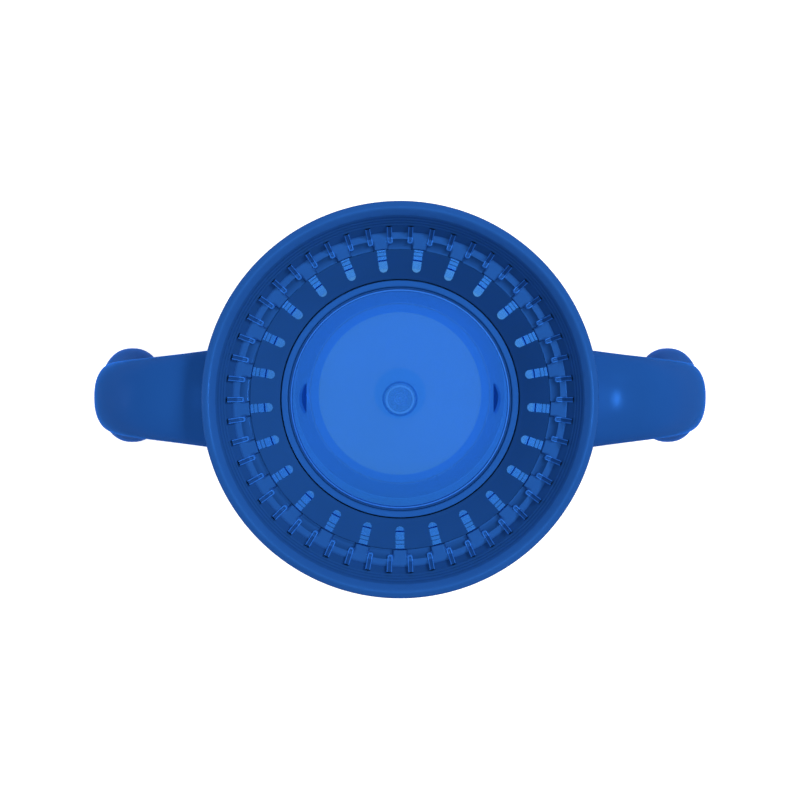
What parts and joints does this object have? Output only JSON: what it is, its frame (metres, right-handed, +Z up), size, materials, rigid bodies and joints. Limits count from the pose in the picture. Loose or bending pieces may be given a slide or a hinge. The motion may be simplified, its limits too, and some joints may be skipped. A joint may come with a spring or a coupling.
{
  "type": "two-handled lidded cup",
  "caption": "Two-handled plastic cup with a screw-on sunken lid whose slotted cone surrounds a clear window with a pull stem.",
  "frame": {"origin": "centre of the foot ring on the table, under the middle of the cup", "axes": "+Z up along the cup's axis, +X towards the right-hand handle, one lid slot points along -Y"},
  "size_m": [0.1386, 0.082, 0.094],
  "materials": {
    "cup_clear_blue": "glossy, see-through blue plastic",
    "handle_blue": "glossy blue moulded plastic",
    "grip_blue": "soft blue over-moulded grip",
    "lid_blue": "glossy blue moulded plastic",
    "basket_blue": "satin blue moulded plastic",
    "ring_blue": "glossy blue moulded plastic",
    "seal_rubber": "soft blue silicone",
    "window_clear": "glossy, clear pale blue plastic",
    "stem_blue": "glossy blue moulded plastic"
  },
  "bodies": {
    "cup": {"cup_body": "cup_clear_blue"},
    "handle_band": {"handle_ring": "handle_blue", "left_handle": "handle_blue", "right_handle": "handle_blue", "left_grip": "grip_blue", "right_grip": "grip_blue"},
    "gasket": {"lid_gasket": "seal_rubber"},
    "lid": {"drinking_lid": "lid_blue"},
    "basket": {"slotted_basket": "basket_blue"},
    "window": {"retaining_ring": "ring_blue", "window_seal": "seal_rubber", "window_disc": "window_clear", "pull_stem": "stem_blue"}
  },
  "joints": [
    {"name": "lid_rise", "type": "slide", "parent": "cup", "child": "gasket", "axis": [0, 0, 1], "range_m": [0, 0.0481]},
    {"name": "lid_turn", "type": "hinge", "parent": "gasket", "child": "lid", "pos_m": [0, 0, 0.084], "axis": [0, 0, 1], "range_deg": [0, 1440]},
    {"name": "handle_ring_lift", "type": "slide", "parent": "cup", "child": "handle_band", "axis": [0, 0, 1], "range_m": [0, 0.0241]},
    {"name": "basket_lift", "type": "slide", "parent": "lid", "child": "basket", "axis": [0, 0, 1], "range_m": [0, 0.025]},
    {"name": "window_lift", "type": "slide", "parent": "basket", "child": "window", "axis": [0, 0, 1], "range_m": [0, 0.04]}
  ],
  "couplings": [
    {"joint": "lid_rise", "follows": "lid_turn", "m_per_rad": 0.0019099},
    {"joint": "handle_ring_lift", "follows": "lid_turn", "m_per_rad": 0.00095493}
  ]
}
